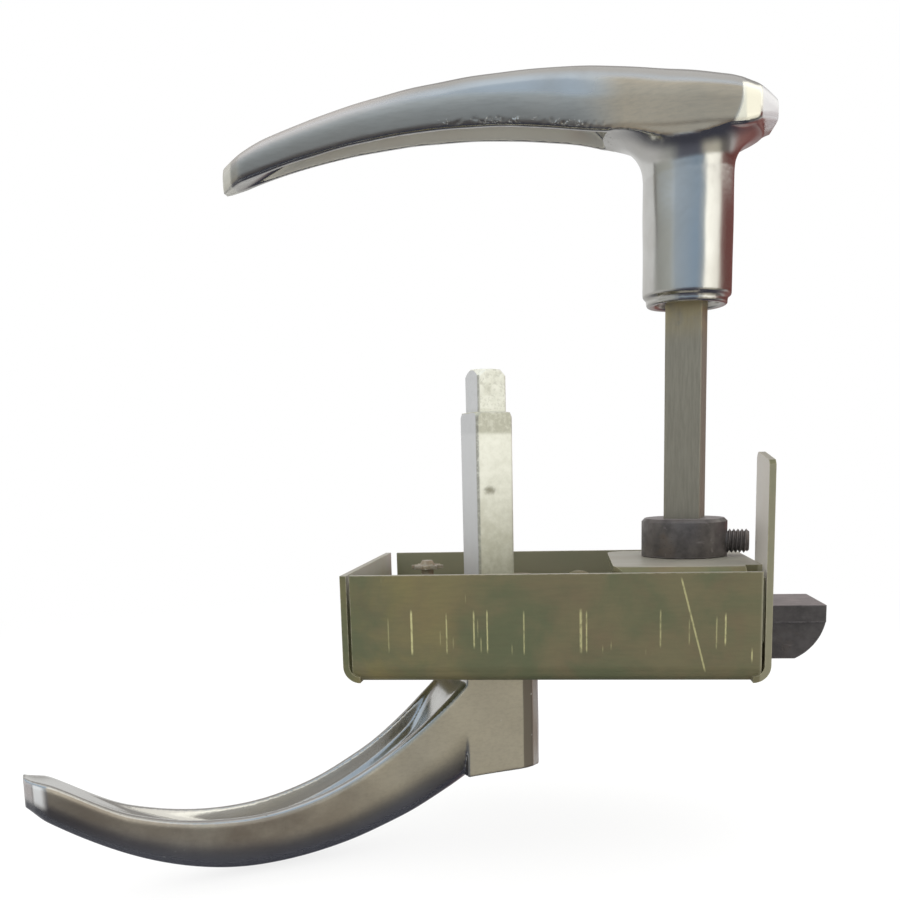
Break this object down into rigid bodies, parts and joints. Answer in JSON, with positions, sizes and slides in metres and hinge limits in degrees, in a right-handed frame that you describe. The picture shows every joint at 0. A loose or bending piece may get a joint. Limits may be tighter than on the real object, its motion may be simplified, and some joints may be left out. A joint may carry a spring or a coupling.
{
  "type": "tractor door lock",
  "caption": "Door lock with a bent sheet case, a sprung latch bolt with a curved nose, and an inner and an outer lever on square spindles.",
  "frame": {"origin": "middle of the four floor screws, on the underside of the case floor", "axes": "+X out of the door edge along the bolt, +Z along the spindles towards the outer lever, +Y from the front wall to the back wall"},
  "size_m": [0.1827, 0.0891, 0.1885],
  "materials": {
    "zinc_case": "olive passivated zinc on bent sheet, scratched",
    "bush": "dull bearing bronze",
    "plain_steel": "dull pressed steel",
    "bright_zinc": "bright zinc plate",
    "grey_spindle": "dull grey drawn steel",
    "dark_steel": "dark blackened steel",
    "handle_metal": "satin to polished cast metal",
    "spring_steel": "spring wire"
  },
  "bodies": {
    "case": {"lock_case": "zinc_case", "bridge_bracket": "zinc_case", "bridge_bush": "bush", "floor_bush": "bush", "spring_post": "plain_steel", "spring_washer": "plain_steel", "guide_post": "zinc_case", "guide_washer": "plain_steel", "return_spring": "spring_steel"},
    "bolt": {"latch_bolt": "dark_steel", "slide_plate": "plain_steel", "front_rivet": "plain_steel", "rear_rivet": "plain_steel"},
    "outer_lever": {"outer_handle": "handle_metal", "outer_spindle": "grey_spindle", "outer_follower": "dark_steel", "set_screw": "dark_steel", "outer_crank": "plain_steel", "outer_crank_pin": "plain_steel"},
    "inner_lever": {"inner_handle": "handle_metal", "inner_spindle": "bright_zinc", "inner_follower": "dark_steel", "inner_washer": "plain_steel", "inner_crank": "plain_steel", "inner_crank_pin": "plain_steel"}
  },
  "joints": [
    {"name": "outer_handle_turn", "type": "hinge", "parent": "case", "child": "outer_lever", "pos_m": [0.033, 0, 0.03], "axis": [0, 0, 1], "range_deg": [0, 50], "stiffness_Nm_per_rad": 0.6, "springref_deg": -17.19},
    {"name": "bolt_slide", "type": "slide", "parent": "case", "child": "bolt", "axis": [-1, 0, 0], "range_m": [0, 0.01501], "deforming": ["return_spring"]},
    {"name": "inner_handle_turn", "type": "hinge", "parent": "case", "child": "inner_lever", "pos_m": [-0.017, 0, 0.01], "axis": [0, 0, 1], "range_deg": [0, 50]}
  ],
  "couplings": [
    {"joint": "bolt_slide", "follows": "outer_handle_turn", "m_per_rad": 0.017192},
    {"joint": "inner_handle_turn", "follows": "outer_handle_turn", "ratio": 1}
  ]
}
